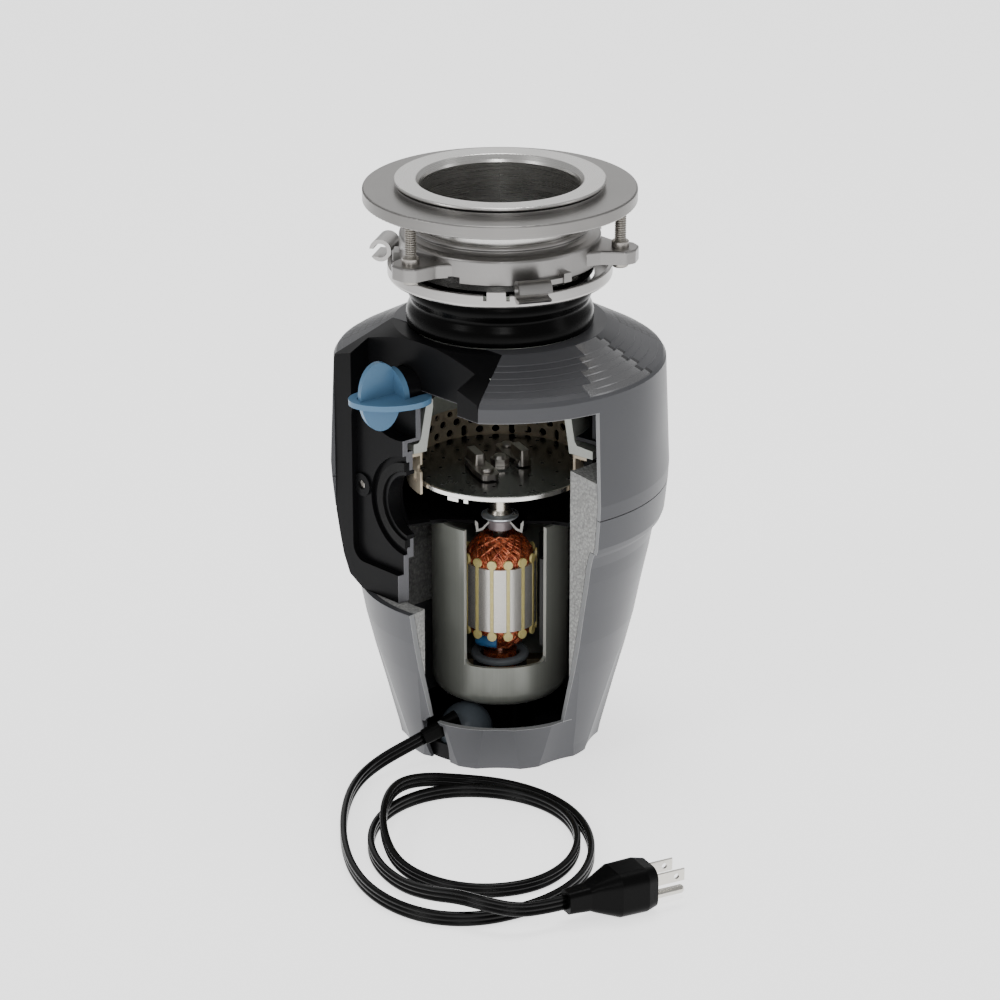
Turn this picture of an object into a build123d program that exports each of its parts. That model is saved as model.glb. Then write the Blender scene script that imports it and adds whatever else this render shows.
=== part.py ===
from build123d import *
import os
from math import atan2, cos, degrees, hypot, pi, radians, sin, tan

# Cutaway kitchen waste disposer, millimetres. Z is the motor axis, the base stands on z = 0 and
# the cut window faces -Y. An azimuth is counted from -Y towards +X. Outlines of turned pieces
# are (radius, height) points in the upright plane at their azimuth.

gap = 0.3

# Sink mount
total_height = 325.5
flange_r = 57.15
throat_r = 43.2
throat_tube_r = 45.0
throat_bottom = 283.0
backing_r = 74.1
backing_top = 320.8
backing_bottom = 313.5
screw_circle_r = 66.6
ear_azimuths = (-45.0, 75.0, 195.0)
ear_bottom = 284.6
ear_top = 292.2
thread_r = 3.17
thread_pitch = 1.27
hook_azimuths = (15.6, 135.6, 255.6)
lock_bottom = 271.0
lock_r = 61.0

# Outer shells
wall = 2.6
collar_r = 50.4
shoulder_inner_r = 58.3
shoulder_inner_z = 245.0
shoulder_r = 90.4
shoulder_z = 228.0
seam_upper = 156.6
seam_lower = 136.4
window_right = 35.0
window_left = -38.5
panel_left = -51.0
window_low = 27.0
window_high = 218.0
lower_window_high = 118.0
flute_count = 10
flute_r = 60.0
flute_depth = 2.6

# Port panel, a flat face square to its own azimuth
panel_azimuth = -46.0
panel_flat = 71.0
panel_field = 67.0
panel_pocket = 58.0
port_u = -3.0
port_z = 152.0
port_r = 29.0
inlet_azimuth = -58.0
inlet_z = 219.0
inlet_tilt = 5.0
wing_x = -59.0
wing_y = -42.0
wing_z = 213.6

# Grinding chamber and motor
inner_left = -57.0
inner_right = 52.0
turntable_r = 49.0
turntable_top = 160.0
turntable_thick = 3.0
sieve_r = 50.4
sieve_top = 177.9
sieve_bottom = 153.5
chamber_flange_z = 178.0
can_r = 38.0
can_wall = 2.2
can_bottom = 28.6
can_top = 133.7
core_r = 20.5
core_bottom = 67.5
core_top = 105.0
core_slots = 14
shaft_r = 4.0

# Flat three-core cord
terminal_centre = (-18.8, -30.7)
cord_height = 8.0
cord_thick = 3.8
plug_turn = 27.0
neck = (33.5, -234.0, 12.5)
relief_length = 22.0
cord_route = [
    (-42.5, -50.5, 17.5), (-55, -56, 12.8), (-66.5, -62.5, 8.3), (-75.5, -73, 5.2),
    (-80.8, -89, 4.2), (-83.5, -109, 4.1), (-84, -132, 4.1), (-82.2, -157, 4.1),
    (-77, -183, 4.1), (-67, -207, 4.1), (-51, -226, 4.1), (-31, -236.5, 4.1),
    (-9, -236.5, 4.1), (12, -227, 4.1), (30, -212.5, 4.1), (43, -192, 4.1),
    (48.8, -167, 4.1), (47.5, -141, 4.1), (39.5, -117, 4.1), (24, -96.5, 4.1),
    (2, -82.5, 4.1), (-21, -79, 4.9), (-42, -87, 10), (-56, -105, 15),
    (-62.2, -128.5, 15), (-62, -152, 10), (-55, -175, 4.6), (-40.5, -194, 4.1),
    (-20, -205.5, 4.1), (2, -206, 4.1), (22, -197, 4.1), (35.5, -179, 4.1),
    (41.4, -157, 4.1), (40.5, -134.5, 4.1), (32, -113.5, 4.1), (15.5, -97.5, 4.1),
    (-5, -89.6, 4.1), (-27, -89.2, 4.1), (-46.5, -98, 4.1), (-60.5, -114, 4.1),
    (-68, -135, 4.1), (-68.8, -158, 4.1), (-62.5, -181.5, 4.1), (-50, -202, 4.8),
    (-35.5, -219.5, 9.5), (-21, -233, 15), (-6.5, -241.5, 15), (8, -244.5, 13.3),
    (21.56, -240.08, 12.5), neck,
]


def keep(piece, name):
    piece.part.label = name
    export_step(piece.part, f"parts/{name}.step")


def radial_plane(azimuth):
    a = radians(azimuth)
    return Plane(origin=(0, 0, 0), x_dir=(sin(a), -cos(a), 0), z_dir=(-cos(a), -sin(a), 0))


def outward_plane(azimuth, distance, height=0.0, tilt=0.0):
    """Plane square to the azimuth, x to the right seen from outside, y upwards."""
    a = radians(azimuth)
    t = radians(tilt)
    out = (sin(a) * cos(t), -cos(a) * cos(t), sin(t))
    centre = (sin(a) * distance, -cos(a) * distance, height)
    return Plane(origin=centre, x_dir=(cos(a), sin(a), 0), z_dir=out)


def polar(azimuth, radius, height):
    a = radians(azimuth)
    return (radius * sin(a), -radius * cos(a), height)


def section(points, azimuth=0.0, rounds=()):
    """Closed outline in the upright plane; rounds holds (index, radius) of rounded corners."""
    with BuildSketch(radial_plane(azimuth)) as outline:
        with BuildLine():
            Polyline(*points, close=True)
        make_face()
        for index, radius in rounds:
            x, y = points[index]
            corner = vertices().filter_by(lambda v: hypot(v.X - x, v.Y - y) < 0.001)
            fillet(corner, radius)
    return outline.sketch


def block(r0, r1, z0, z1, azimuth=0.0):
    return section([(r0, z0), (r1, z0), (r1, z1), (r0, z1)], azimuth)


def panel_prism(near, low, high, grow=0.0):
    """Upright region of the port panel from this distance off the axis outwards."""
    half = 45 + (near - 45) * 0.452 + grow
    far = 110
    half_far = 45 + (far - 45) * 0.452 + grow
    a = radians(panel_azimuth)
    base = Plane(origin=(0, 0, low), x_dir=(cos(a), sin(a), 0), z_dir=(0, 0, 1))
    with BuildPart() as prism:
        with BuildSketch(base):
            with BuildLine():
                Polyline((-half, -near), (half, -near), (half_far, -far), (-half_far, -far), close=True)
            make_face()
        extrude(amount=high - low)
    return prism.part


# --------------------------------------------------------------------------- sink mount


def make_sink_flange():
    profile = section(
        [
            (throat_r, throat_bottom), (throat_tube_r, throat_bottom), (throat_tube_r, 286.0),
            (throat_tube_r - 0.7, 286.0), (throat_tube_r - 0.7, 288.6), (throat_tube_r, 288.6),
            (throat_tube_r, 323.7), (flange_r, 323.7), (flange_r, total_height),
            (throat_r + 2.2, total_height - 0.3), (throat_r + 0.5, 322.5), (throat_r, 321.0),
        ],
        rounds=[(7, 0.6), (8, 0.8), (9, 0.8)],
    )
    with BuildPart() as sink_flange:
        revolve(profile, axis=Axis.Z)
    keep(sink_flange, "sink_flange")


def make_sink_gasket():
    with BuildPart() as sink_gasket:
        revolve(block(throat_tube_r + 0.05, 55.3, 322.7, 323.7), axis=Axis.Z)
    keep(sink_gasket, "sink_gasket")


def make_backing_ring():
    inner = throat_tube_r + gap
    profile = section(
        [
            (inner, backing_bottom + 2), (inner + 1.5, backing_bottom), (backing_r, backing_bottom),
            (backing_r, backing_top), (56.6, backing_top), (56.6, 322.7), (inner, 322.7),
        ],
        rounds=[(2, 0.8), (3, 0.9), (5, 0.5)],
    )
    with BuildPart() as backing_ring:
        revolve(profile, axis=Axis.Z)
        for azimuth in ear_azimuths:
            with Locations(polar(azimuth, screw_circle_r, backing_bottom)):
                Cylinder(thread_r + 0.1, 12, mode=Mode.SUBTRACT)
    keep(backing_ring, "backing_ring")


def make_snap_ring():
    inner = throat_tube_r - 0.65
    profile = section(
        [(inner, 286.1), (inner + 3.4, 286.1), (inner + 3.4, 288.5), (inner, 288.5)],
        rounds=[(1, 1.0), (2, 1.0)],
    )
    with BuildPart() as snap_ring:
        revolve(profile, axis=Axis.Z)
        revolve(block(40, 52, 285, 290, 172), axis=Axis.Z, revolution_arc=12, mode=Mode.SUBTRACT)
    keep(snap_ring, "snap_ring")


def make_mounting_ring():
    inner = throat_tube_r + gap
    profile = section(
        [
            (inner, 289.0), (48.6, 289.0), (51.0, 281.6), (54.6, 281.6), (54.6, 295.6),
            (50.5, 296.4), (47.6, 298.2), (49.2, 299.6), (48.2, 301.0), (inner, 301.0),
        ],
        rounds=[(3, 0.6), (4, 1.8), (6, 0.5), (7, 0.8), (8, 0.5)],
    )
    with BuildPart() as mounting_ring:
        revolve(profile, axis=Axis.Z)
        for azimuth in ear_azimuths:
            a = radians(azimuth)
            base = Plane(origin=(0, 0, ear_bottom), x_dir=(cos(a), sin(a), 0), z_dir=(0, 0, 1))
            with BuildSketch(base):
                with BuildLine():
                    Polyline(
                        (-17, -51.0), (-11.5, -59), (-9.0, -72.0), (-4.5, -76.0), (4.5, -76.0),
                        (9.0, -72.0), (11.5, -59), (17, -51.0), close=True,
                    )
                make_face()
                fillet(vertices().filter_by(lambda v: v.Y < -55), 3.4)
            extrude(amount=ear_top - ear_bottom)
        fillet(faces().filter_by(Axis.Z).sort_by(lambda f: abs(f.center().Z - ear_top))[:3].edges()
               .filter_by(lambda e: hypot(e.center().X, e.center().Y) > 60), 1.2)
        for azimuth in ear_azimuths:
            with Locations(polar(azimuth, screw_circle_r, 286)):
                Cylinder(thread_r + 0.1, 20, mode=Mode.SUBTRACT)
        revolve(block(0, 50.9, 280, 289), axis=Axis.Z, mode=Mode.SUBTRACT)
        for azimuth in ear_azimuths:
            start = azimuth + 68
            revolve(block(54.0, 57.6, 281.4, 284.2, start), axis=Axis.Z, revolution_arc=13)
            revolve(block(54.0, 58.4, 281.4, 286.4, start + 12.5), axis=Axis.Z, revolution_arc=5)
            revolve(block(50.0, 56, 280, 285.4, azimuth + 7), axis=Axis.Z, revolution_arc=15,
                    mode=Mode.SUBTRACT)
    keep(mounting_ring, "mounting_ring")


def make_mounting_screw(number, azimuth):
    bottom = 281.0
    top = bottom + 3.4
    root_r = thread_r - 0.55
    points = [(0, bottom), (4.0, bottom), (4.4, bottom + 0.5), (4.4, top), (thread_r, top), (thread_r, 296.0)]
    z = 296.6
    while z < 317.5:
        points += [(root_r, z), (thread_r, z + thread_pitch * 0.45), (thread_r, z + thread_pitch * 0.6)]
        z += thread_pitch
    points += [(root_r, 318.4), (root_r, 318.9), (0, 318.9)]
    a = radians(azimuth)
    centre = Location(polar(azimuth, screw_circle_r, 0))
    with BuildPart(mode=Mode.PRIVATE) as turned:
        with BuildSketch(Plane.XZ):
            with BuildLine():
                Polyline(*points, close=True)
            make_face()
        revolve(axis=Axis.Z)
        with Locations((0, 0, bottom)):
            Box(1.3, 10, 3.0, mode=Mode.SUBTRACT)
    with BuildPart() as mounting_screw:
        add(turned.part.moved(Location((0, 0, 0), (0, 0, degrees(a))).inverse()).moved(centre))
    keep(mounting_screw, f"mounting_screw_{number}")


def make_screw_collars():
    with BuildPart() as screw_collars:
        for azimuth in ear_azimuths:
            with Locations(polar(azimuth, screw_circle_r, ear_top)):
                Cylinder(4.7, 3.6, align=(Align.CENTER, Align.CENTER, Align.MIN))
        chamfer(edges().filter_by(GeomType.CIRCLE).filter_by(lambda e: e.center().Z > 294), 0.6)
        for azimuth in ear_azimuths:
            with Locations(polar(azimuth, screw_circle_r, ear_top)):
                Cylinder(thread_r + 0.04, 3.6, align=(Align.CENTER, Align.CENTER, Align.MIN),
                         mode=Mode.SUBTRACT)
    keep(screw_collars, "screw_collars")


def make_locking_ring():
    profile = section(
        [
            (51.2, lock_bottom), (lock_r, lock_bottom), (lock_r, 278.6), (lock_r - 2, 278.6),
            (lock_r - 2, 273.0), (51.2, 273.0),
        ],
        rounds=[(1, 2.2), (2, 0.6), (4, 0.9)],
    )
    with BuildPart() as locking_ring:
        revolve(profile, axis=Axis.Z)
        for azimuth in hook_azimuths:
            side = outward_plane(azimuth + 90, -9).offset(0)
            with BuildSketch(side):
                with Locations((-64.8, 281.6)):
                    Circle(6.2)
                    Circle(3.9, mode=Mode.SUBTRACT)
                    with Locations((-4.5, -1.5)):
                        Rectangle(6.0, 4.4, mode=Mode.SUBTRACT)
            extrude(amount=18)
            revolve(block(lock_r - 2, lock_r, 278.0, 280.4, azimuth - 22.2), axis=Axis.Z, revolution_arc=9.4)
            for offset in (-24.0, -12.6):
                revolve(block(57, 63, 275.6, 281, azimuth + offset), axis=Axis.Z,
                        revolution_arc=1.8, mode=Mode.SUBTRACT)
    keep(locking_ring, "locking_ring")


def make_neck_bellows():
    with BuildSketch(radial_plane(0)) as outline:
        with BuildLine():
            Spline((50.6, 245.6), (51.2, 249.5), (50.2, 254.6), (48.8, 258.4), (50.2, 262.4),
                   (49.9, 266.6), (47.0, 270.6))
            Polyline((47.0, 270.6), (45.9, 270.6), (45.9, 245.6), (50.6, 245.6))
        make_face()
    with BuildPart() as neck_bellows:
        revolve(outline.sketch, axis=Axis.Z)
    keep(neck_bellows, "neck_bellows")


def make_splash_guard():
    ring = section([(15, 271.2), (43.5, 275.0), (50.8, 275.0), (50.8, 277.5), (42.6, 277.5), (15, 272.8)])
    with BuildPart() as splash_guard:
        revolve(ring, axis=Axis.Z)
        with PolarLocations(28, 8):
            Box(18, 1.0, 20, mode=Mode.SUBTRACT)
        split_pos = Location((0, 0, 272))
        with Locations(split_pos):
            Cylinder(15, 30, mode=Mode.SUBTRACT)
    keep(splash_guard, "splash_guard")


# --------------------------------------------------------------------------- outer shells


def envelope(azimuth=0.0, inset=0.0):
    """Outline of the whole upper body, panel included, drawn inwards by inset."""
    return section(
        [
            (0, 96 + inset), (79.2 - inset, 96 + inset), (84.7 - inset, 102), (87.3 - inset, 112),
            (88.8 - inset, 121.6), (91.2 - inset, 139.6), (92.9 - inset, seam_upper),
            (93.4 - inset, 165), (91.2 - inset, 222), (shoulder_r - inset * 0.7, shoulder_z - inset),
            (shoulder_inner_r, shoulder_inner_z - inset), (0, shoulder_inner_z - inset),
        ],
        azimuth,
    )


def make_upper_shell():
    steps = [65.3, 69.1, 73.5, 77.3, 81.6, 86.0]
    slope = (shoulder_z - shoulder_inner_z) / (shoulder_r - shoulder_inner_r)
    shoulder = []
    for r in steps:
        z = shoulder_inner_z + slope * (r - shoulder_inner_r)
        shoulder += [(r, z), (r + 0.15, z - 0.5)]
    outline = [(collar_r, shoulder_inner_z + 0.3), (shoulder_inner_r, shoulder_inner_z)] + shoulder
    outline += [
        (shoulder_r - 1.2, shoulder_z + 0.2), (shoulder_r + 0.4, shoulder_z - 2.2), (93.4, 165),
        (92.9, seam_upper + 0.25), (92.9 - wall, seam_upper + 0.25), (93.4 - wall, 165),
        (shoulder_r - wall, shoulder_z - 4), (shoulder_inner_r, shoulder_inner_z - wall - 0.4),
        (collar_r, shoulder_inner_z - wall),
    ]
    region = panel_prism(40, 90, 260, grow=0.15)
    with BuildPart() as upper_shell:
        revolve(section(outline), axis=Axis.Z)
        revolve(block(60, 110, 100, window_high, panel_left), axis=Axis.Z,
                revolution_arc=window_right - panel_left, mode=Mode.SUBTRACT)
        add(region, mode=Mode.SUBTRACT)
        with Locations((0, 0, 240)):
            Cylinder(collar_r, 30, mode=Mode.SUBTRACT)
    keep(upper_shell, "upper_shell")


def make_trim_band():
    profile = section([
        (90.0, seam_lower), (91.2, 139.6), (92.9, seam_upper - 0.25), (92.9 - wall, seam_upper - 0.25),
        (91.2 - wall, 139.6), (90.0 - wall, seam_lower),
    ], window_right)
    region = panel_prism(40, 90, 260, grow=0.15)
    with BuildPart() as trim_band:
        revolve(profile, axis=Axis.Z, revolution_arc=360 + panel_left - window_right)
        add(region, mode=Mode.SUBTRACT)
    keep(trim_band, "trim_band")


def make_lower_shell():
    rim = 3.6
    outer = [(55.8, 0), (57.4, 7.7), (65.1, 37.8), (70.5, 57.7), (75.3, 77.5), (79.0, 97.0), (83.1, 116.5),
             (84.8, 126.2), (86.8, 133.0), (88.2, seam_lower - 0.3)]
    inner = [(r - rim, z) for r, z in reversed(outer)]
    region = panel_prism(60, 95.7, 260, grow=0.15)
    low_r = outer[0][0]
    lean = degrees(atan2(outer[3][0] - low_r, outer[3][1]))
    with BuildPart() as lower_shell:
        revolve(section(outer + inner, 17), axis=Axis.Z)
        for number in range(flute_count):
            azimuth = -1 + number * 360 / flute_count
            a = radians(azimuth)
            t = radians(lean + 2.2)
            along = (sin(a) * sin(t), -cos(a) * sin(t), cos(t))
            start = polar(azimuth, low_r - flute_depth + flute_r / cos(t), 0)
            with BuildSketch(Plane(origin=start, x_dir=(cos(a), sin(a), 0), z_dir=along).offset(-30)):
                Circle(flute_r)
            extrude(amount=190, mode=Mode.SUBTRACT)
        revolve(block(40, 110, window_low, 140, window_left), axis=Axis.Z,
                revolution_arc=window_right - window_left, mode=Mode.SUBTRACT)
        revolve(block(40, 110, lower_window_high, 140, panel_left), axis=Axis.Z,
                revolution_arc=window_right - panel_left, mode=Mode.SUBTRACT)
        revolve(section([(40, -1), (75, -1), (75, 25), (40, 25)], -44.5), axis=Axis.Z,
                revolution_arc=13.5, mode=Mode.SUBTRACT)
        with BuildSketch(outward_plane(-34, 40)):
            with Locations((-4.2, 12)):
                Ellipse(8.0, 17)
        extrude(amount=40, mode=Mode.SUBTRACT)
        add(region, mode=Mode.SUBTRACT)
    keep(lower_shell, "lower_shell")


def make_port_panel():
    body = envelope()
    region = panel_prism(40, 90, 250)
    back = panel_prism(30, 90, 188, grow=20)
    sector = block(0, 120, 90, window_high, panel_left)
    with BuildPart() as port_panel:
        revolve(body, axis=Axis.Z)
        add(region, mode=Mode.INTERSECT)
        with BuildSketch(outward_plane(panel_azimuth, panel_flat)):
            with Locations((0, 160)):
                Rectangle(220, 220)
        extrude(amount=60, mode=Mode.SUBTRACT)
        # Field around the port, shallow, with rounded corners.
        with BuildSketch(outward_plane(panel_azimuth, panel_field)):
            with Locations((-1, 158.5)):
                RectangleRounded(84, 93, 9)
        extrude(amount=30, mode=Mode.SUBTRACT)
        # Deep pocket around the inlet, open through the shoulder.
        with BuildSketch(outward_plane(panel_azimuth, panel_pocket)):
            with Locations((-1, 233)):
                RectangleRounded(84, 60, 6)
        extrude(amount=40, mode=Mode.SUBTRACT)
        with BuildSketch(outward_plane(panel_azimuth, panel_pocket)):
            with Locations((-12.5, inlet_z)):
                Circle(30)
        extrude(amount=40, mode=Mode.SUBTRACT)
        # Hollow behind, first up to the chamber flange and then beside the chamber.
        with BuildSketch(outward_plane(panel_azimuth, panel_field - 3)):
            with Locations((0, 138)):
                Rectangle(200, 100)
        extrude(amount=-60, mode=Mode.SUBTRACT)
        with BuildSketch(outward_plane(panel_azimuth, panel_pocket - 3)):
            with Locations((0, 137)):
                Rectangle(200, 200)
        extrude(amount=-60, mode=Mode.SUBTRACT)
        # Stepped seat of the discharge port with its two screw bosses.
        with BuildSketch(outward_plane(panel_azimuth, 60.6)):
            with Locations((port_u, port_z)):
                Circle(port_r + 2)
        extrude(amount=panel_field - 60.6)
        for radius, depth in ((port_r, 64.6), (port_r - 4, 62.8), (20.2, 50.0)):
            with BuildSketch(outward_plane(panel_azimuth, depth)):
                with Locations((port_u, port_z)):
                    Circle(radius)
            extrude(amount=30, mode=Mode.SUBTRACT)
        with BuildSketch(outward_plane(panel_azimuth, panel_field - 3)):
            with Locations((port_u - 35.5, port_z + 4)):
                Circle(6.5)
        extrude(amount=4.4)
        with BuildSketch(outward_plane(panel_azimuth, 50)):
            with Locations((port_u - 35.5, port_z + 4)):
                Circle(2.6)
        extrude(amount=40, mode=Mode.SUBTRACT)
        with BuildSketch(outward_plane(inlet_azimuth, 0, inlet_z + 4.0, -inlet_tilt).offset(30)):
            Circle(11.6)
        extrude(amount=60, mode=Mode.SUBTRACT)
        revolve(sector, axis=Axis.Z, revolution_arc=window_right - panel_left, mode=Mode.SUBTRACT)
        with Locations((0, 0, 200)):
            Cylinder(collar_r + 0.2, 140, mode=Mode.SUBTRACT)
    keep(port_panel, "port_panel")


def make_panel_screw():
    with BuildPart() as panel_screw:
        with BuildSketch(outward_plane(panel_azimuth, 61.0)):
            with Locations((port_u - 35.5, port_z + 4)):
                Circle(2.5)
        extrude(amount=6.2)
        with BuildSketch(outward_plane(panel_azimuth, 66.4)):
            with Locations((port_u - 35.5, port_z + 4)):
                Rectangle(0.9, 3.6)
        extrude(amount=1.5, mode=Mode.SUBTRACT)
    keep(panel_screw, "panel_screw")


def make_foam():
    profile = section([
        (66.2, 56.5), (67.6, 61.5), (71.3, 77.5), (75.1, 97.0), (79.2, 116.5), (80.8, 126.2), (82.8, 133.0),
        (84.2, 136.3), (87.0, 136.6), (88.1, 139.6), (89.8, 156.3), (90.4, 165), (89.7, 177.5), (66.0, 177.5),
    ], window_right)
    region = panel_prism(60, 95.5, 260, grow=0.2)
    with BuildPart() as foam_insulation:
        revolve(profile, axis=Axis.Z, revolution_arc=360 + window_left - window_right)
        add(region, mode=Mode.SUBTRACT)
        revolve(block(40, 110, lower_window_high - 1, 200, panel_left - 5), axis=Axis.Z,
                revolution_arc=window_right - panel_left + 4.9, mode=Mode.SUBTRACT)
    keep(foam_insulation, "foam_insulation")


def make_base():
    with BuildPart() as base_plate:
        revolve(block(0, 51.6, 0, 3.2), axis=Axis.Z)
        revolve(block(49.4, 51.6, 3.2, 9.0), axis=Axis.Z)
        with Locations(polar(60, 34, 1.5)):
            Cylinder(7.3, 10, mode=Mode.SUBTRACT)
        with Locations((*terminal_centre, 8.2)):
            Cylinder(15.2, 10, mode=Mode.SUBTRACT)
    keep(base_plate, "base_plate")
    with BuildPart() as motor_support:
        revolve(block(12, 15, 3.2, can_bottom - 0.1), axis=Axis.Z)
        with PolarLocations(0, 4, start_angle=20):
            with Locations((19, 0, 3.2)):
                Box(12, 2.4, can_bottom - 3.4, align=(Align.CENTER, Align.CENTER, Align.MIN))
        revolve(block(0, 12, 0, 40), axis=Axis.Z, mode=Mode.SUBTRACT)
    keep(motor_support, "motor_support")


def make_terminal_cover():
    centre = terminal_centre
    with BuildPart() as terminal_cover:
        with Locations((*centre, 14.6)):
            Sphere(14.6)
        with Locations((*centre, 3.2)):
            Cylinder(14.6, 11.4, align=(Align.CENTER, Align.CENTER, Align.MIN))
        with Locations((*centre, 14.6)):
            Sphere(12.6, mode=Mode.SUBTRACT)
        with Locations((*centre, 3.2)):
            Cylinder(12.6, 11.4, align=(Align.CENTER, Align.CENTER, Align.MIN), mode=Mode.SUBTRACT)
        with Locations((*centre, -20)):
            Box(60, 60, 46.4, mode=Mode.SUBTRACT)
        with Locations((0, 0, 15)):
            Cylinder(15.3, 60, mode=Mode.SUBTRACT)
    keep(terminal_cover, "terminal_cover")


def make_overload():
    spot = polar(60, 34, 0)
    with BuildPart() as overload_protector:
        with Locations((spot[0], spot[1], 3.3)):
            Box(20, 16, 15, align=(Align.CENTER, Align.CENTER, Align.MIN))
            Cylinder(4.3, 9, align=(Align.CENTER, Align.CENTER, Align.MIN), mode=Mode.SUBTRACT)
            with Locations((0, 0, -2.4)):
                Cylinder(7.0, 2.4, align=(Align.CENTER, Align.CENTER, Align.MIN))
                Cylinder(4.3, 2.4, align=(Align.CENTER, Align.CENTER, Align.MIN), mode=Mode.SUBTRACT)
    keep(overload_protector, "overload_protector")
    with BuildPart() as reset_button:
        with Locations((spot[0], spot[1], 0.9)):
            Cylinder(4.0, 8.0, align=(Align.CENTER, Align.CENTER, Align.MIN))
            chamfer(edges().filter_by(GeomType.CIRCLE), 0.6)
    keep(reset_button, "reset_button")


def make_rectifier():
    with BuildPart() as rectifier_board:
        with Locations((0, 37, 10)):
            Box(30, 20, 1.6)
        with Locations((0, 37, 14.3)):
            Box(15, 15, 7)
        with Locations((-9, 37, 6.2), (9, 37, 6.2)):
            Cylinder(2, 6)
    keep(rectifier_board, "rectifier_board")


# --------------------------------------------------------------------------- inlet and port


def make_inlet():
    plane = outward_plane(inlet_azimuth, 0, inlet_z + 4.0, -inlet_tilt)
    with BuildPart() as inlet_tube:
        with BuildSketch(plane.offset(40)):
            Circle(11.2)
        extrude(amount=24.5)
        with BuildSketch(plane.offset(30)):
            Circle(9.2)
        extrude(amount=40, mode=Mode.SUBTRACT)
        with Locations((0, 0, 220)):
            Cylinder(47.8, 80, mode=Mode.SUBTRACT)
    keep(inlet_tube, "inlet_tube")
    a = radians(inlet_azimuth)
    t = radians(-inlet_tilt)
    out = Vector(sin(a) * cos(t), -cos(a) * cos(t), sin(t))
    side = Vector(cos(a), sin(a), 0)
    centre = plane.origin + out * 76.6 - Vector(0, 0, 1.2)
    wall_line = outward_plane(panel_azimuth, 59.6)
    with BuildPart() as flat_wing:
        with BuildSketch(Plane(origin=(wing_x, wing_y, wing_z), x_dir=(1, 0, 0.03), z_dir=(-0.03, -0.05, 1))):
            Ellipse(22.4, 13.0)
            with Locations((-15.2, -0.5)):
                Circle(2.7, mode=Mode.SUBTRACT)
        extrude(amount=1.6, both=True)
        with BuildSketch(wall_line):
            with Locations((-33.6, wing_z)):
                Rectangle(60, 60)
        extrude(amount=-40, mode=Mode.SUBTRACT)
    with BuildPart() as inlet_plug:
        with BuildSketch(plane.offset(56)):
            Circle(9.0)
        extrude(amount=10)
        with BuildSketch(plane.offset(65)):
            Circle(12.4)
        extrude(amount=3)
        with BuildSketch(Plane(origin=centre, x_dir=out, z_dir=side).offset(-1.6)):
            Ellipse(12.4, 19.6)
        extrude(amount=3.2)
        add(flat_wing.part)
        with BuildSketch(plane.offset(44)):
            Circle(11.8)
            Circle(9.0, mode=Mode.SUBTRACT)
        extrude(amount=20.9, mode=Mode.SUBTRACT)
    keep(inlet_plug, "inlet_plug")


def make_drain_outlet():
    front = outward_plane(panel_azimuth, 0)
    sector = block(0, 120, 100, 200, panel_left)
    with BuildPart() as drain_outlet:
        with BuildSketch(front.offset(52)):
            with Locations((port_u, port_z)):
                Circle(19.8)
        extrude(amount=13)
        with BuildSketch(front.offset(62.9)):
            with Locations((port_u, port_z)):
                Circle(24.5)
        extrude(amount=1.6)
        with BuildSketch(front.offset(40)):
            with Locations((port_u, port_z)):
                Circle(17.8)
        extrude(amount=40, mode=Mode.SUBTRACT)
        with Locations((0, 0, 150)):
            Cylinder(59.8, 80, mode=Mode.SUBTRACT)
        revolve(sector, axis=Axis.Z, revolution_arc=86, mode=Mode.SUBTRACT)
    keep(drain_outlet, "drain_outlet")
    with BuildPart() as port_seal:
        with BuildSketch(front.offset(64.6)):
            with Locations((port_u, port_z)):
                Circle(25.2)
                Circle(20.4, mode=Mode.SUBTRACT)
        extrude(amount=1.8)
        revolve(sector, axis=Axis.Z, revolution_arc=86, mode=Mode.SUBTRACT)
    keep(port_seal, "port_seal")


# --------------------------------------------------------------------------- grinding chamber


def make_chamber():
    profile = section([
        (43.3, 270.4), (43.3, 203), (46.8, 183.5), (47.6, chamber_flange_z), (63.5, chamber_flange_z),
        (63.5, 182.6), (52.6, 183.6), (51.2, 186), (47.8, 204), (45.8, 206), (45.8, 270.4),
    ], rounds=[(6, 1.5), (2, 3.0)])
    region = panel_prism(54.8, 100, 230, grow=0.3)
    with BuildPart() as chamber_casting:
        revolve(profile, axis=Axis.Z)
        revolve(block(30, 110, 100, window_high, inner_left), axis=Axis.Z,
                revolution_arc=inner_right - inner_left, mode=Mode.SUBTRACT)
        add(region, mode=Mode.SUBTRACT)
        with BuildSketch(outward_plane(inlet_azimuth, 30, inlet_z + 4.0 - 30 * tan(radians(inlet_tilt)), -inlet_tilt)):
            Circle(9.2)
        extrude(amount=40, mode=Mode.SUBTRACT)
        for azimuth in (65, 110, 155, 200, 245):
            with Locations(polar(azimuth, 61.4, 180)):
                Cylinder(1.9, 20, mode=Mode.SUBTRACT)
    keep(chamber_casting, "chamber_casting")
    with BuildPart() as chamber_bolts:
        for azimuth in (65, 110, 155, 200, 245):
            with BuildSketch(Plane.XY.offset(183.2)):
                with Locations(Location(polar(azimuth, 61.4, 0))):
                    RegularPolygon(3.4, 6)
            extrude(amount=3)
            with Locations(polar(azimuth, 61.4, 171)):
                Cylinder(1.8, 12.4, align=(Align.CENTER, Align.CENTER, Align.MIN))
    keep(chamber_bolts, "chamber_bolts")


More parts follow.
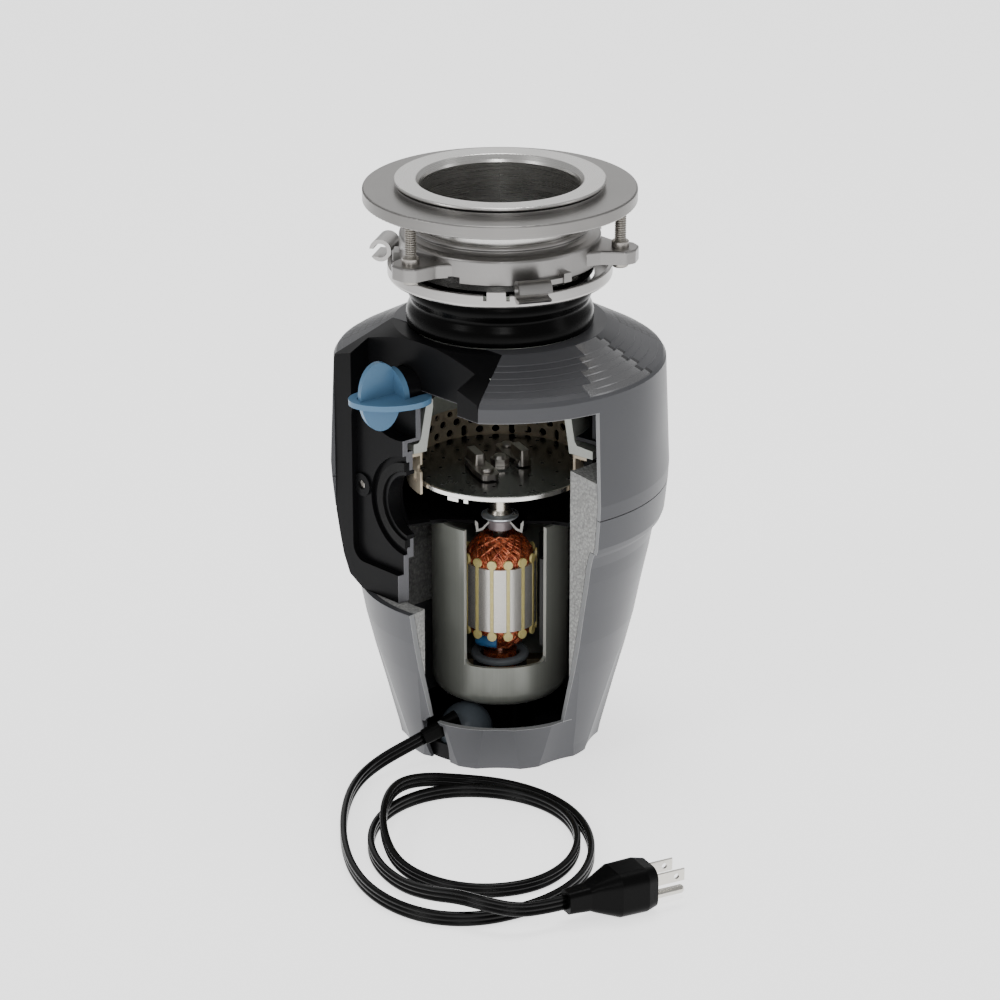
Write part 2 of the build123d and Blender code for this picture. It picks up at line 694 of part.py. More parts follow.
def make_sound_baffle():
    arc = 360 + inner_left - inner_right
    ring = section([
        (52.4, 187), (84.0, 187), (86.6, 215), (86.0, 222.5), (60.0, 237), (51.0, 240.5), (51.0, 238),
        (59.0, 234.5), (84.0, 221), (84.4, 215), (82.0, 189), (52.4, 189),
    ], inner_right)
    region = panel_prism(39.6, 100, 260, grow=0.4)
    with BuildPart() as sound_baffle:
        revolve(ring, axis=Axis.Z, revolution_arc=arc)
        for number in range(14):
            azimuth = inner_right + 1.5 + number * 18
            revolve(block(62, 83.4, 189, 218, azimuth), axis=Axis.Z, revolution_arc=1.4)
        add(region, mode=Mode.SUBTRACT)
    keep(sound_baffle, "sound_baffle")


def make_shredder_ring():
    arc = 360 + inner_left - inner_right
    r0 = sieve_r
    profile = section([
        (r0, sieve_bottom), (r0 + 1.5, sieve_bottom), (r0 + 1.5, 176.2), (59.4, 176.2), (59.4, sieve_top),
        (r0, sieve_top),
    ], inner_right)
    holes = []
    pitch = 10.4
    for number in range(24):
        azimuth = 58 + number * pitch
        if azimuth < 300:
            holes.append((azimuth, 162.6, number % 3 == 2))
            holes.append((azimuth + pitch / 2, 168.6, False))
            holes.append((azimuth, 174.0, False))
    with BuildPart() as shredder_ring:
        revolve(profile, axis=Axis.Z, revolution_arc=arc)
        for azimuth, z, slot in holes:
            with BuildSketch(outward_plane(azimuth, r0 - 4, z)):
                if slot:
                    SlotOverall(6.6, 3.4, rotation=90)
                else:
                    Circle(2.2 if z < 172 else 1.6)
            extrude(amount=9, mode=Mode.SUBTRACT)
        for azimuth in (96, 166, 262):
            with Locations(Location(polar(azimuth, r0 - 0.6, 169.5), (0, 0, azimuth))):
                Box(7.5, 3.4, 13.4)
    keep(shredder_ring, "shredder_ring")


def make_end_frame():
    arc = 360 + inner_left - inner_right
    profile = section([
        (7.3, 126.6), (11.4, 123.6), (15.6, 123.3), (16.2, 127.4), (17.2, 128.8), (34.6, 133.8), (38.2, 133.8),
        (59.8, 136.6), (59.8, 173.8), (63.5, 173.8), (63.5, 177.8), (59.6, 177.8), (59.6, 176.0), (57.8, 176.0),
        (57.8, 138.6), (38.2, 136.0), (16.4, 130.6), (14.6, 128.6), (14.2, 124.8), (12.0, 125.0), (7.3, 128.2),
    ], inner_right)
    region = panel_prism(60.0, 100, 230, grow=0.3)
    with BuildPart() as end_frame:
        revolve(profile, axis=Axis.Z, revolution_arc=arc)
        add(region, mode=Mode.SUBTRACT)
        with BuildSketch(outward_plane(panel_azimuth, 45)):
            with Locations((port_u, port_z + 1)):
                Circle(17.8)
        extrude(amount=30, mode=Mode.SUBTRACT)
        for azimuth in (65, 110, 155, 200, 245):
            with Locations(polar(azimuth, 61.4, 176)):
                Cylinder(1.9, 20, mode=Mode.SUBTRACT)
    keep(end_frame, "end_frame")
    with BuildPart() as bearing_housing:
        revolve(section([(shaft_r + 0.05, 122.8), (7.2, 122.8), (7.2, 128.4), (shaft_r + 0.05, 128.4)], 0,
                        rounds=[(1, 0.6), (2, 0.6)]), axis=Axis.Z)
    keep(bearing_housing, "bearing_housing")


def make_turntable():
    r = turntable_r
    top = turntable_top
    profile = section([
        (0, top - 2.0), (r - 1.8, top - 2.0), (r - 1.8, top - turntable_thick), (r, top - turntable_thick),
        (r, top), (12, top), (9, top + 0.7), (0, top + 0.7),
    ], rounds=[(3, 0.4), (4, 0.6)])
    with BuildPart() as turntable:
        revolve(profile, axis=Axis.Z)
        for radius, count, hole in ((43, 20, 1.1), (33, 14, 0.9), (23.5, 7, 1.1)):
            with Locations((0, 0, top - 1)):
                with PolarLocations(radius, count, start_angle=7):
                    Cylinder(hole, 8, mode=Mode.SUBTRACT)
        with Locations((0, 0, top)):
            Cylinder(3.1, 8, mode=Mode.SUBTRACT)
        for azimuth, width in ((-36, 8), (-24, 3), (84, 8), (96, 3), (204, 8), (216, 3)):
            revolve(block(r - 4.0, r - 0.6, top - 5.2, top - 2.4, azimuth), axis=Axis.Z, revolution_arc=width)
        for x, y in rivet_spots:
            with Locations((x, y, top)):
                Cylinder(2.0, 8, mode=Mode.SUBTRACT)
    keep(turntable, "turntable")


rivet_spots = ((-7.0, -20.0), (4.0, 18.5))
arm_directions = (112.0, -66.0)


def make_impeller(number):
    """Swinging lug: an oval foot on the rivet, an upright arm and a blunt end."""
    x, y = rivet_spots[number - 1]
    foot_z = turntable_top + 1.0
    turn = arm_directions[number - 1]
    base = Plane(origin=(x, y, foot_z), x_dir=(cos(radians(turn)), sin(radians(turn)), 0), z_dir=(0, 0, 1))
    with BuildPart() as impeller:
        with BuildSketch(base):
            with BuildLine():
                Polyline((-6.5, -5), (6, -6), (25.5, -3.8), (25.5, 3.8), (6, 6), (-6.5, 5), close=True)
            make_face()
            fillet(vertices(), 3.2)
        extrude(amount=3.0)
        with BuildSketch(base.offset(3.0)):
            with Locations((17.5, 0)):
                RectangleRounded(16, 6.4, 1.6)
        extrude(amount=6.0, taper=8)
        with Locations((x, y, foot_z)):
            Cylinder(2.06, 12, mode=Mode.SUBTRACT)
    keep(impeller, f"impeller_{number}")


def make_rivets():
    top = turntable_top
    with BuildPart() as impeller_rivets:
        for x, y in rivet_spots:
            with Locations((x, y, top - 3.0)):
                Cylinder(2.0, 8.0, align=(Align.CENTER, Align.CENTER, Align.MIN))
            with Locations((x, y, top - 3.6)):
                Cylinder(3.4, 1.5, align=(Align.CENTER, Align.CENTER, Align.MIN))
            with Locations((x, y, top + 4.3)):
                Cylinder(3.6, 1.9, align=(Align.CENTER, Align.CENTER, Align.MIN))
            with Locations((x, y, top + 0.02)):
                Cylinder(3.6, 0.7, align=(Align.CENTER, Align.CENTER, Align.MIN))
        fillet(edges().filter_by(GeomType.CIRCLE).filter_by(lambda e: e.center().Z > top + 6), 1.2)
    keep(impeller_rivets, "impeller_rivets")


def make_rotor():
    top = turntable_top
    with BuildPart() as hub_nut:
        with BuildSketch(Plane.XY.offset(top + 0.75)):
            RegularPolygon(5.2, 6)
        extrude(amount=3.6)
        revolve(section([(0, top + 4.3), (4.2, top + 4.3), (3.2, top + 6.0), (0, top + 6.6)]), axis=Axis.Z)
        with Locations((0, 0, top - 2)):
            Cylinder(3.0, 4.6, align=(Align.CENTER, Align.CENTER, Align.MIN), mode=Mode.SUBTRACT)
    keep(hub_nut, "hub_nut")
    with BuildPart() as hub_sleeve:
        revolve(section([
            (shaft_r + 0.02, 132.3), (7.0, 132.3), (5.9, 134.4), (5.6, 146), (5.8, 153), (8.0, 157.9),
            (shaft_r + 0.02, 157.9),
        ], rounds=[(2, 1.5), (4, 3)]), axis=Axis.Z)
    keep(hub_sleeve, "hub_sleeve")
    with BuildPart() as slinger_washer:
        revolve(section([
            (shaft_r + 0.02, 129.4), (9.4, 129.4), (10.5, 130.2), (10.5, 131.0), (8.6, 131.4), (7.4, 132.2),
            (shaft_r + 0.02, 132.2),
        ]), axis=Axis.Z)
    keep(slinger_washer, "slinger_washer")
    with BuildPart() as motor_shaft:
        revolve(section([
            (0, 33.0), (shaft_r - 0.4, 33.0), (shaft_r, 33.6), (shaft_r, 157.9), (3.0, 157.9), (3.0, 161.9),
            (0, 161.9),
        ]), axis=Axis.Z)
    keep(motor_shaft, "motor_shaft")
    with BuildPart() as armature_core:
        with BuildSketch(Plane.XY.offset(core_bottom)):
            Circle(core_r)
            Circle(shaft_r + 0.02, mode=Mode.SUBTRACT)
            with PolarLocations(core_r - 1.0, core_slots):
                Rectangle(4.4, 2.2, mode=Mode.SUBTRACT)
        extrude(amount=core_top - core_bottom)
    keep(armature_core, "armature_core")
    with BuildPart() as slot_liners:
        with PolarLocations(core_r - 0.5, core_slots):
            with Locations((0, 0, core_bottom - 2.7)):
                Box(1.3, 1.9, core_top - core_bottom + 5.4, align=(Align.CENTER, Align.CENTER, Align.MIN))
            with Locations((0, 0, core_top + 2.75), (0, 0, core_bottom - 2.75)):
                Cylinder(2.65, 1.3, rotation=(0, 90, 0))
    keep(slot_liners, "slot_liners")
    inner = shaft_r + 0.02
    lower_coil = [
        (inner, 50.0), (9.5, 50.0), (12.4, 53.5), (15.5, 60.0), (17.6, 64.5), (17.6, 67.45), (inner, 67.45),
    ]
    lower_coil_rounds = [(2, 4), (4, 2)]
    with BuildPart() as winding_upper:
        revolve(section([
            (inner, 105.05), (18.6, 105.05), (19.1, 109), (17.6, 114.4), (14.4, 119.4), (11.0, 122.2),
            (9.0, 122.4), (8.0, 121.2), (8.0, 118.5), (inner, 118.5),
        ], rounds=[(2, 3), (3, 6), (4, 6), (5, 1.5)]), axis=Axis.Z)
    keep(winding_upper, "winding_upper")
    with BuildPart() as winding_lower:
        revolve(section(lower_coil, rounds=lower_coil_rounds), axis=Axis.Z)
    keep(winding_lower, "winding_lower")
    with BuildPart() as balance_putty:
        with BuildSketch(radial_plane(-44)):
            with Locations((16.4, 60.0)):
                Ellipse(3.6, 3.2)
        revolve(axis=Axis.Z, revolution_arc=38)
        revolve(section(lower_coil, rounds=lower_coil_rounds), axis=Axis.Z, mode=Mode.SUBTRACT)
    keep(balance_putty, "balance_putty")
    with BuildPart() as commutator:
        revolve(block(inner, 9.5, 38.0, 49.6), axis=Axis.Z)
        with Locations((0, 0, 43)):
            with PolarLocations(9.5, core_slots):
                Box(1.2, 0.6, 14, mode=Mode.SUBTRACT)
    keep(commutator, "commutator")


def make_motor_can():
    inner = can_r - can_wall
    floor = can_bottom + can_wall
    profile = section([
        (shaft_r + 0.6, can_bottom), (can_r, can_bottom), (can_r, can_top), (inner, can_top), (inner, floor),
        (shaft_r + 0.6, floor),
    ], rounds=[(1, 8), (4, 5.8)])
    with BuildPart() as motor_can:
        revolve(profile, axis=Axis.Z)
        with BuildPart(mode=Mode.PRIVATE) as window:
            revolve(block(30, 45, 53.6, 140, -31.0), axis=Axis.Z, revolution_arc=73)
            fillet(window.edges().filter_by(lambda e: abs(e.center().Z - 53.6) < 0.01 and e.length > 14.9
                                            and e.geom_type == GeomType.LINE), 4.5)
        add(window.part, mode=Mode.SUBTRACT)
    keep(motor_can, "motor_can")
    with BuildPart() as magnets:
        for start in (48, 228):
            revolve(block(29.6, inner - 0.05, 60, 112, start), axis=Axis.Z, revolution_arc=84)
    keep(magnets, "magnets")
    with BuildPart() as lower_bearing:
        revolve(block(shaft_r + 0.05, 9.5, floor + 0.02, 37.4), axis=Axis.Z)
    keep(lower_bearing, "lower_bearing")
    with BuildPart() as brush_ring:
        revolve(section([(11.0, 44.6), (16.4, 44.6), (16.4, 48.4), (11.0, 48.4)],
                        rounds=[(0, 1.7), (1, 1.7), (2, 1.7), (3, 1.7)]), axis=Axis.Z)
    keep(brush_ring, "brush_ring")
    with BuildPart() as brush_holders:
        for side in (-1, 1):
            with Locations((side * 24.0, 0, 41.2)):
                Box(18, 8.4, 6.4)
                Box(20, 6.3, 4.6, mode=Mode.SUBTRACT)
    keep(brush_holders, "brush_holders")
    with BuildPart() as carbon_brushes:
        for side in (-1, 1):
            with Locations((side * 15.2, 0, 41.2)):
                Box(10.4, 6.1, 4.4)
    keep(carbon_brushes, "carbon_brushes")
    with BuildPart() as brush_springs:
        for side in (-1, 1):
            for turn in range(6):
                with Locations((side * (21.4 + turn * 1.9), 0, 41.2)):
                    Cylinder(2.1, 1.5, rotation=(0, 90, 0))
            with Locations((side * 26.3, 0, 41.2)):
                Cylinder(1.5, 11, rotation=(0, 90, 0))
    keep(brush_springs, "brush_springs")


# --------------------------------------------------------------------------- cord and plug


def cord_radii(route):
    """Radius of each inner corner: 0.45 of its shorter run over the tangent of half the turn."""
    radii = []
    for before, here, after in zip(route, route[1:], route[2:]):
        one = Vector(*here) - Vector(*before)
        two = Vector(*after) - Vector(*here)
        turn = one.get_angle(two)
        radii.append(0.45 * min(one.length, two.length) / tan(radians(turn) / 2))
    return radii


def make_cord():
    radii = cord_radii(cord_route)
    print("cord radii", [round(r) for r in radii], "smallest", round(min(radii), 1))
    first = Vector(*cord_route[1]) - Vector(*cord_route[0])
    flat = Vector(0, 0, 1).cross(first).normalized()
    with BuildPart() as power_cord:
        with BuildLine() as path:
            FilletPolyline(*cord_route, radius=radii)
        with BuildSketch(Plane(origin=cord_route[0], x_dir=flat, z_dir=first)):
            RectangleRounded(cord_thick, cord_height, 1.2)
        sweep(path=path.wires()[0])
    length = path.wires()[0].length
    area = cord_thick * cord_height - (4 - pi) * 1.2 ** 2
    print("cord length", round(length, 1), "volume ratio", round(power_cord.part.volume / (length * area), 4))
    keep(power_cord, "power_cord")


def make_strain_relief():
    tip = Vector(*cord_route[0])
    along = (Vector(*cord_route[1]) - tip).normalized()
    start = tip - along * relief_length
    flat = Vector(0, 0, 1).cross(along).normalized()
    with BuildPart() as strain_relief:
        with BuildSketch(Plane(origin=start, x_dir=flat, z_dir=along)):
            RectangleRounded(7.4, 11.4, 3)
        with BuildSketch(Plane(origin=tip, x_dir=flat, z_dir=along)):
            RectangleRounded(4.6, 8.8, 1.8)
        loft()
    keep(strain_relief, "strain_relief")


def make_plug():
    a = radians(plug_turn)
    along = Vector(cos(a), sin(a), 0)
    across = Vector(-sin(a), cos(a), 0)
    start = Vector(*neck)
    sections = ((0, 10, 12), (12, 11.5, 13.5), (15.5, 14, 16.5), (27, 24, 24.6), (42, 25, 24.8), (48, 21, 22.6))
    with BuildPart() as plug_body:
        for (s0, w0, h0), (s1, w1, h1) in zip(sections, sections[1:]):
            for s, w, h in ((s0, w0, h0), (s1, w1, h1)):
                with BuildSketch(Plane(origin=start + along * s, x_dir=across, z_dir=along)):
                    RectangleRounded(w, h, min(w, h) * 0.28)
            loft()
    keep(plug_body, "plug_body")
    face = start + along * 48.02
    blade = Plane(origin=face, x_dir=across, z_dir=along)
    with BuildPart() as plug_blades:
        with BuildSketch(blade):
            with Locations((-6.35, 3.6), (6.35, 3.6)):
                Rectangle(1.5, 6.3)
        extrude(amount=17.5)
        chamfer(edges().filter_by(lambda e: e.length < 6.4).sort_by(lambda e: -(e.center() - face).dot(along))[:2],
                0.5)
        with BuildSketch(Plane(origin=face + along * 12.5 + Vector(0, 0, 3.6), x_dir=along, z_dir=across)):
            Circle(1.55)
        extrude(amount=10, both=True, mode=Mode.SUBTRACT)
    keep(plug_blades, "plug_blades")
    with BuildPart() as ground_pin:
        with BuildSketch(blade):
            with Locations((0, -8.3)):
                Circle(2.35)
        extrude(amount=20.6)
        fillet(edges().filter_by(GeomType.CIRCLE).sort_by(lambda e: -(e.center() - face).dot(along))[0], 1.9)
    keep(ground_pin, "ground_pin")


os.makedirs("parts", exist_ok=True)

make_sink_flange()
make_sink_gasket()
make_backing_ring()
make_snap_ring()
make_mounting_ring()
for screw_number, screw_azimuth in enumerate(ear_azimuths, start=1):
    make_mounting_screw(screw_number, screw_azimuth)
make_screw_collars()
make_locking_ring()
make_neck_bellows()
make_splash_guard()
make_upper_shell()
make_trim_band()
make_lower_shell()
make_port_panel()
make_panel_screw()
make_foam()
make_base()
make_terminal_cover()
make_overload()
make_rectifier()
make_inlet()
make_drain_outlet()
make_chamber()
make_sound_baffle()
make_shredder_ring()
make_end_frame()
make_turntable()
for impeller_number in (1, 2):
    make_impeller(impeller_number)
make_rivets()
make_rotor()
make_motor_can()
make_cord()
make_strain_relief()
make_plug()
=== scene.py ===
from math import cos, pi, radians, sin

import bpy
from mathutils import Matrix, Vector


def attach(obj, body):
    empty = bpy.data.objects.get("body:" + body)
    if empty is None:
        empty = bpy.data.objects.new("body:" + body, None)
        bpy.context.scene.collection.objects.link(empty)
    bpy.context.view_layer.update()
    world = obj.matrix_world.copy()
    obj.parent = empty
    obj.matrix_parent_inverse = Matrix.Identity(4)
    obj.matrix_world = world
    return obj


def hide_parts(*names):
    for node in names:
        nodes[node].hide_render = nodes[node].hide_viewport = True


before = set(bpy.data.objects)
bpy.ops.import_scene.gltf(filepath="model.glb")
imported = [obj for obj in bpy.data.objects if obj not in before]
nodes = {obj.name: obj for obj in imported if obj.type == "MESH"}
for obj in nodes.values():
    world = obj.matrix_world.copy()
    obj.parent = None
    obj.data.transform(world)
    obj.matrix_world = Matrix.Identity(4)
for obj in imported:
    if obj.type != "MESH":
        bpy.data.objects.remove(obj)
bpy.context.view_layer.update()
MM = 0.001

# Where the display was cut open: azimuths in degrees, heights in metres.
SHELL_CUT_RIGHT = 35.0
SHELL_CUT_LEFT_LOW = -38.5
SHELL_CUT_LEFT_HIGH = -51.0
INNER_CUTS = (-57.0, 52.0)
CAN_CUTS = (-31.0, 42.0)
WINDOW_SILL = 0.027
WINDOW_TOP = 0.218
CAN_WINDOW_SILL = 0.0535
CUT_FACE = 0.0002

# Shoulder rings: radius of the innermost one and the distance from each to the next.
RING_START = 0.0575
RING_STEP = 0.0041


# ----------------------------------------------------------------------------- node helpers


class Looks:
    """A material under construction: short calls that add and join shader nodes."""

    def __init__(self, name):
        self.material = bpy.data.materials.new(name)
        self.material.use_nodes = True
        self.tree = self.material.node_tree
        self.tree.nodes.clear()
        self.out = self.add("ShaderNodeOutputMaterial")
        self.shader = self.add("ShaderNodeBsdfPrincipled")
        self.link(self.shader.outputs[0], self.out.inputs["Surface"])
        coord = self.add("ShaderNodeTexCoord")
        self.position = coord.outputs["Object"]

    def add(self, kind, **settings):
        node = self.tree.nodes.new(kind)
        for key, value in settings.items():
            setattr(node, key, value)
        return node

    def link(self, a, b):
        self.tree.links.new(a, b)

    def put(self, socket, value):
        if isinstance(value, bpy.types.NodeSocket):
            self.link(value, socket)
        else:
            socket.default_value = value

    def math(self, operation, a, b=0.0, c=0.0):
        node = self.add("ShaderNodeMath", operation=operation)
        self.put(node.inputs[0], a)
        self.put(node.inputs[1], b)
        self.put(node.inputs[2], c)
        return node.outputs[0]

    def split(self):
        node = self.add("ShaderNodeSeparateXYZ")
        self.link(self.position, node.inputs[0])
        return node.outputs

    def join(self, x, y, z):
        node = self.add("ShaderNodeCombineXYZ")
        for socket, value in zip(node.inputs, (x, y, z)):
            self.put(socket, value)
        return node.outputs[0]

    def azimuth(self, x, y):
        """Angle about the motor axis, from the front (-Y) towards +X."""
        return self.math("ARCTAN2", x, self.math("MULTIPLY", y, -1.0))

    def radius(self, x, y):
        """Distance from the motor axis."""
        return self.math("SQRT", self.math("ADD", self.math("MULTIPLY", x, x), self.math("MULTIPLY", y, y)))

    def round_coords(self, around, across, up):
        """Cylinder coordinates about the motor axis, each scaled."""
        x, y, z = self.split()
        return self.join(self.math("MULTIPLY", self.azimuth(x, y), around),
                         self.math("MULTIPLY", self.radius(x, y), across), self.math("MULTIPLY", z, up))

    def noise(self, scale, detail=3.0, roughness=0.5, vector=None, distortion=0.0):
        node = self.add("ShaderNodeTexNoise")
        self.link(vector or self.position, node.inputs["Vector"])
        node.inputs["Scale"].default_value = scale
        node.inputs["Detail"].default_value = detail
        node.inputs["Roughness"].default_value = roughness
        node.inputs["Distortion"].default_value = distortion
        return node.outputs["Fac"]

    def cells(self, scale, vector=None, feature="F1"):
        node = self.add("ShaderNodeTexVoronoi", feature=feature)
        self.link(vector or self.position, node.inputs["Vector"])
        node.inputs["Scale"].default_value = scale
        return node.outputs["Distance"]

    def spread(self, value, low, high, to_low=0.0, to_high=1.0):
        node = self.add("ShaderNodeMapRange")
        for socket, v in zip(node.inputs, (value, low, high, to_low, to_high)):
            self.put(socket, v)
        return node.outputs[0]

    def mix(self, factor, a, b):
        node = self.add("ShaderNodeMix", data_type="RGBA")
        self.put(node.inputs[0], factor)
        for socket, value in ((node.inputs[6], a), (node.inputs[7], b)):
            if isinstance(value, bpy.types.NodeSocket):
                self.link(value, socket)
            else:
                socket.default_value = (*value, 1.0)
        return node.outputs[2]

    def bump(self, height, distance, strength=0.5):
        node = self.add("ShaderNodeBump")
        node.inputs["Strength"].default_value = strength
        node.inputs["Distance"].default_value = distance
        self.put(node.inputs["Height"], height)
        self.link(node.outputs[0], self.shader.inputs["Normal"])

    def colour(self, value):
        socket = self.shader.inputs["Base Color"]
        if isinstance(value, bpy.types.NodeSocket):
            self.link(value, socket)
        else:
            socket.default_value = (*value, 1.0)

    def rough(self, value):
        self.put(self.shader.inputs["Roughness"], value)

    def set(self, **values):
        for key, value in values.items():
            self.shader.inputs[key.replace("_", " ")].default_value = value


def tint(colour, factor):
    return tuple(min(1.0, c * factor) for c in colour)


def turned_metal(name, colour, rough, grain=2600, contrast=0.16, around=1.2):
    """Metal finished on a lathe: fine rings round the axis, with faint patches."""
    m = Looks(name)
    rings = m.noise(1.0, 2.0, 0.6, vector=m.round_coords(around, grain, grain))
    patches = m.noise(38, 4.0, 0.6)
    shade = m.math("ADD", m.math("MULTIPLY", rings, 0.55), m.math("MULTIPLY", patches, 0.45))
    m.colour(m.mix(shade, tint(colour, 1 - contrast), tint(colour, 1 + contrast)))
    m.rough(m.spread(rings, 0.25, 0.75, rough - 0.03, rough + 0.05))
    m.bump(rings, 0.00002, 0.3)
    m.set(Metallic=1.0, Specular_IOR_Level=0.5)
    return m.material


def cast_metal(name, colour, rough, scale=900, metallic=1.0, contrast=0.12, depth=0.00006):
    """Die-cast or stamped metal: a fine blasted grain and soft cloudy patches."""
    m = Looks(name)
    grain = m.noise(scale, 3.0, 0.6)
    clouds = m.noise(45, 4.0, 0.55)
    shade = m.math("ADD", m.math("MULTIPLY", grain, 0.4), m.math("MULTIPLY", clouds, 0.6))
    m.colour(m.mix(shade, tint(colour, 1 - contrast), tint(colour, 1 + contrast)))
    m.rough(m.spread(clouds, 0.3, 0.7, rough - 0.05, rough + 0.06))
    m.bump(grain, depth, 0.5)
    m.set(Metallic=metallic)
    return m.material


def moulded(name, colour, rough, scale=1600, coat=0.0, contrast=0.10, depth=0.00004, gloss=0.22):
    """Moulded plastic or rubber: fine orange-peel texture and faint dust."""
    m = Looks(name)
    peel = m.noise(scale, 2.0, 0.5)
    dust = m.noise(24, 5.0, 0.65)
    m.colour(m.mix(dust, tint(colour, 1 - contrast), tint(colour, 1 + contrast)))
    m.rough(m.spread(dust, 0.3, 0.75, rough - 0.05, rough + 0.08))
    m.bump(peel, depth, 0.4)
    m.set(Coat_Weight=coat, Coat_Roughness=0.12, Specular_IOR_Level=gloss)
    return m.material


def use(material, *names):
    for name in names:
        mesh = nodes[name].data
        if not mesh.materials:
            mesh.materials.append(material)
        for index in range(len(mesh.materials)):
            mesh.materials[index] = material


# ----------------------------------------------------------------------------- materials

bright_steel = turned_metal("bright_turned_steel", (0.68, 0.67, 0.65), 0.27, contrast=0.07)
satin_steel = turned_metal("satin_turned_steel", (0.30, 0.292, 0.283), 0.36, grain=1900)
zinc = cast_metal("zinc_casting", (0.30, 0.292, 0.285), 0.34)
sheet_steel = turned_metal("stamped_sheet_steel", (0.43, 0.42, 0.41), 0.30, grain=1500)
screw_steel = cast_metal("screw_steel", (0.42, 0.40, 0.37), 0.32, scale=1500)
glossy_rubber = moulded("black_moulded_rubber", (0.0015, 0.0015, 0.0015), 0.24, gloss=0.08)
flat_rubber = moulded("black_flat_rubber", (0.005, 0.005, 0.005), 0.5, gloss=0.12)
black_plastic = moulded("black_textured_plastic", (0.004, 0.004, 0.0045), 0.36, scale=2200, depth=0.00006,
                        gloss=0.12)
dark_baffle = moulded("dark_baffle_plastic", (0.010, 0.011, 0.014), 0.45, scale=900)
cord_black = moulded("cord_pvc", (0.003, 0.003, 0.003), 0.27, scale=2600, gloss=0.16)
plug_black = moulded("plug_pvc", (0.002, 0.002, 0.002), 0.33, scale=1800, gloss=0.07)
blue_plastic = moulded("blue_moulded_plastic", (0.090, 0.195, 0.320), 0.36, contrast=0.06, coat=0.10)
slate_plastic = moulded("slate_plastic", (0.075, 0.090, 0.105), 0.34, contrast=0.08)
ring_plastic = moulded("grey_brush_ring", (0.20, 0.22, 0.24), 0.34, contrast=0.15)
red_plastic = moulded("red_button_plastic", (0.45, 0.02, 0.015), 0.3)
putty_blue = moulded("blue_epoxy", (0.030, 0.125, 0.290), 0.42, scale=700, contrast=0.2, depth=0.0002)
board_green = moulded("green_board", (0.02, 0.12, 0.05), 0.4)
beige_steel = cast_metal("beige_perforated_steel", (0.60, 0.52, 0.40), 0.40, scale=1100, metallic=0.6)
brass = turned_metal("sintered_bronze", (0.62, 0.52, 0.36), 0.34)
pale_brass = turned_metal("pale_hub_metal", (0.66, 0.62, 0.54), 0.28)
boss_metal = cast_metal("sintered_boss", (0.30, 0.255, 0.265), 0.42, metallic=0.5)
washer_metal = cast_metal("zinc_plated_washer", (0.66, 0.70, 0.73), 0.28, metallic=0.7)
ferrite = cast_metal("ferrite", (0.045, 0.045, 0.047), 0.5, scale=500, metallic=0.2)
carbon = moulded("carbon", (0.02, 0.02, 0.02), 0.5, scale=800, contrast=0.3)
blade_metal = cast_metal("nickel_blade", (0.62, 0.60, 0.55), 0.25, scale=1400)


